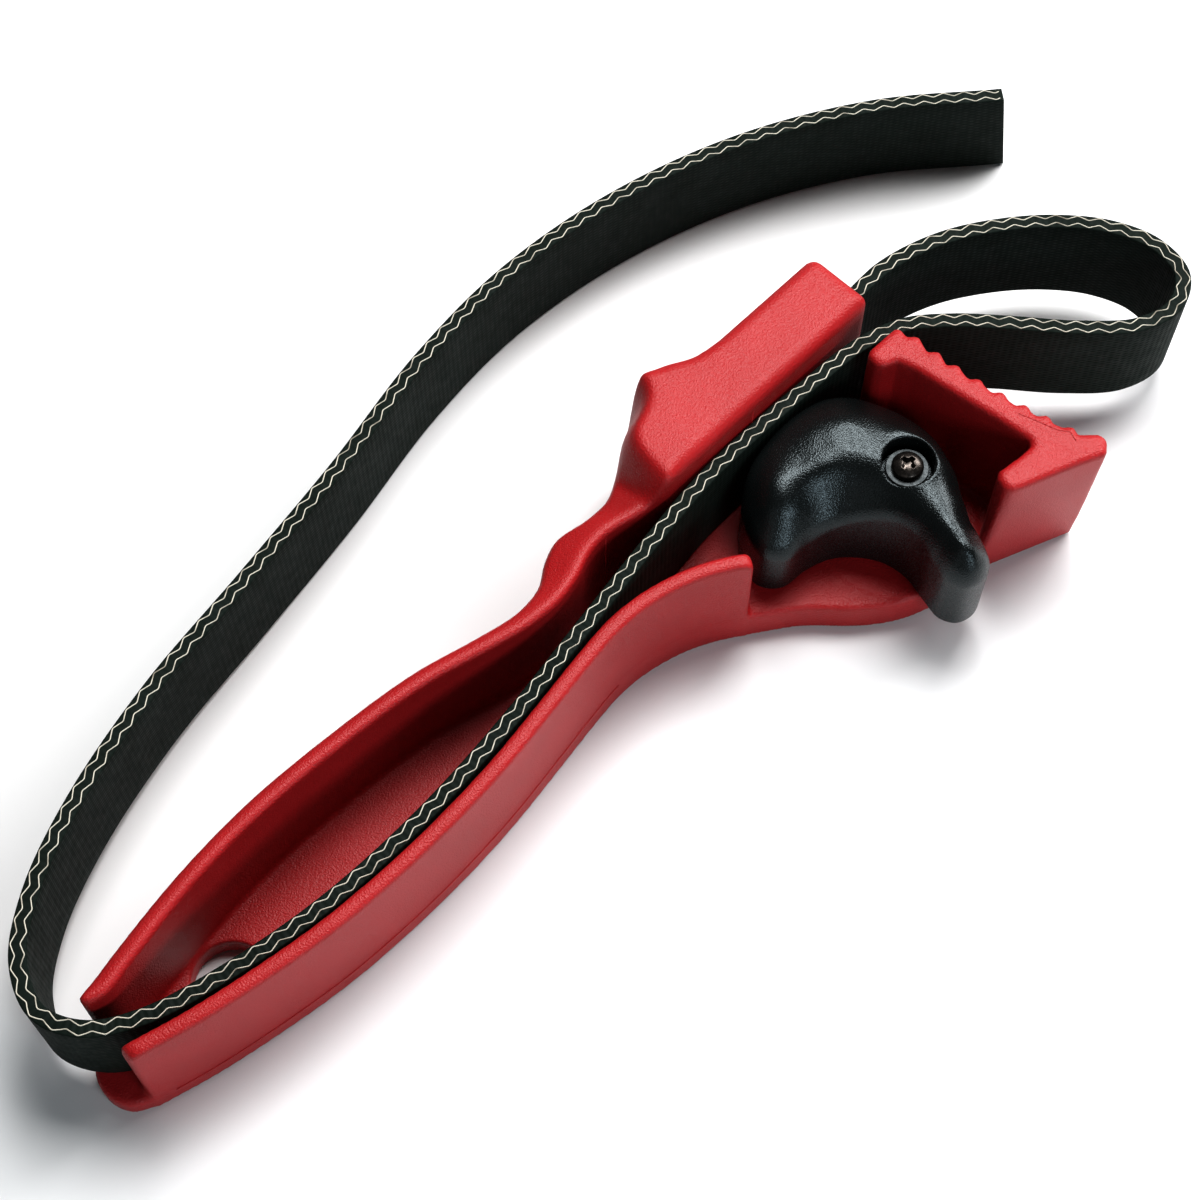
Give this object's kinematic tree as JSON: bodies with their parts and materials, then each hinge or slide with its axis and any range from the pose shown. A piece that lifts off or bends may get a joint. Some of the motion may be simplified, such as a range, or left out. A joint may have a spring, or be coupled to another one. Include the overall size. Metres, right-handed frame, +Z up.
{
  "type": "adjustable belt wrench",
  "caption": "Adjustable belt wrench for oil filters: channel handle with serrated jaw, flat rubber belt and a cam lever that locks the belt.",
  "frame": {"origin": "on the flat underside, straight below the cam lever's pivot", "axes": "+X along the handle from its tail to its head, +Y towards the nose block, +Z up, away from the underside"},
  "size_m": [0.2687, 0.1172, 0.037],
  "materials": {
    "handle_plastic": "satin moulded red plastic with a fine pebble grain",
    "cam_plastic": "half-gloss black moulded plastic",
    "belt_rubber": "black rubber over a woven face, two cream cord plies showing at the edge",
    "steel": "plain steel",
    "black_steel": "black oxide steel"
  },
  "bodies": {
    "handle": {"handle_body": "handle_plastic", "pivot_screw": "black_steel", "pivot_washer": "steel", "pivot_sleeve": "steel", "belt_anchor_pin_1": "steel", "belt_anchor_pin_2": "steel", "belt": "belt_rubber"},
    "cam": {"cam_lever": "cam_plastic"}
  },
  "joints": [
    {"name": "cam_release", "type": "hinge", "parent": "handle", "child": "cam", "pos_m": [0, 0, 0], "axis": [0, 0, 1], "range_deg": [0, 14]}
  ]
}
